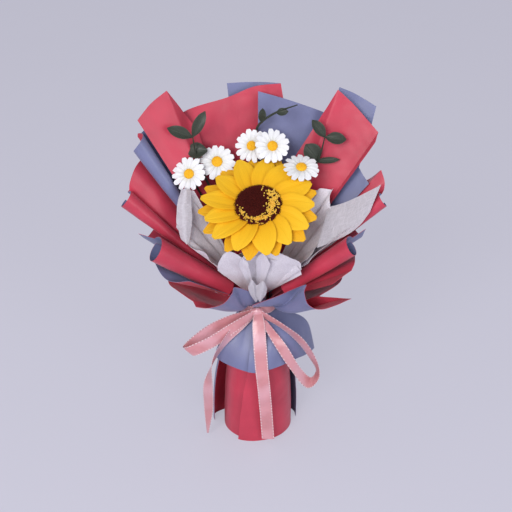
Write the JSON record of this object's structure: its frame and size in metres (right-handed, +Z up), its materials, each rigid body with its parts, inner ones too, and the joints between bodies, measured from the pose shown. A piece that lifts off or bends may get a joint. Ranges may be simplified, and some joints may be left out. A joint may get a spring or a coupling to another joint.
{
  "type": "wrapped flower bouquet",
  "caption": "Small standing bouquet with a sunflower, daisies and leaf sprigs in fanned two-tone wrapping paper, tissue and a ribbon bow.",
  "frame": {"origin": "middle of the outline seen from above, on the surface that the bouquet stands on", "axes": "+Z up, +X to the right of a viewer who faces the flowers, -Y toward that viewer"},
  "size_m": [0.2462, 0.1616, 0.3585],
  "materials": {
    "red_paper": "coral red uncoated wrapping paper, grey-blue on its other side",
    "blue_paper": "grey-blue uncoated wrapping paper, coral red on its other side",
    "tissue_paper": "thin pale lavender fibre tissue",
    "satin_ribbon": "pink satin ribbon",
    "sunflower_petal": "matt yellow stiffened petals",
    "seed_head": "bristly dark maroon with yellow tips",
    "daisy_petal": "matt white petals",
    "daisy_eye": "grainy orange yellow",
    "leaf_green": "dark green moulded leaves",
    "stem_plastic": "green coated stem",
    "stem_tape": "green crepe stem tape"
  },
  "bodies": {
    "root": {"back_centre_paper": "blue_paper", "back_left_paper": "red_paper", "back_right_paper": "blue_paper", "daisy_1_eye": "daisy_eye", "daisy_1_petals": "daisy_petal", "daisy_1_stem": "stem_plastic", "daisy_2_eye": "daisy_eye", "daisy_2_petals": "daisy_petal", "daisy_2_stem": "stem_plastic", "daisy_3_eye": "daisy_eye", "daisy_3_petals": "daisy_petal", "daisy_3_stem": "stem_plastic", "daisy_4_eye": "daisy_eye", "daisy_4_petals": "daisy_petal", "daisy_4_stem": "stem_plastic", "daisy_5_eye": "daisy_eye", "daisy_5_petals": "daisy_petal", "daisy_5_stem": "stem_plastic", "front_tissue": "tissue_paper", "left_front_paper": "blue_paper", "left_lower_paper": "red_paper", "left_panel_paper": "red_paper", "left_roll_paper": "red_paper", "left_second_paper": "blue_paper", "left_third_paper": "red_paper", "left_tissue": "tissue_paper", "ribbon_bow": "satin_ribbon", "right_corner_tissue": "tissue_paper", "right_front_paper": "blue_paper", "right_lower_paper": "red_paper", "right_panel_paper": "red_paper", "right_roll_paper": "red_paper", "right_second_paper": "blue_paper", "right_third_paper": "red_paper", "right_tissue": "tissue_paper", "sprig_left": "leaf_green", "sprig_right": "leaf_green", "sprig_top": "leaf_green", "stem_tape": "stem_tape", "sunflower_back_petals": "sunflower_petal", "sunflower_calyx": "stem_plastic", "sunflower_front_petals": "sunflower_petal", "sunflower_seed_head": "seed_head", "sunflower_stem": "stem_plastic"}
  },
  "joints": []
}
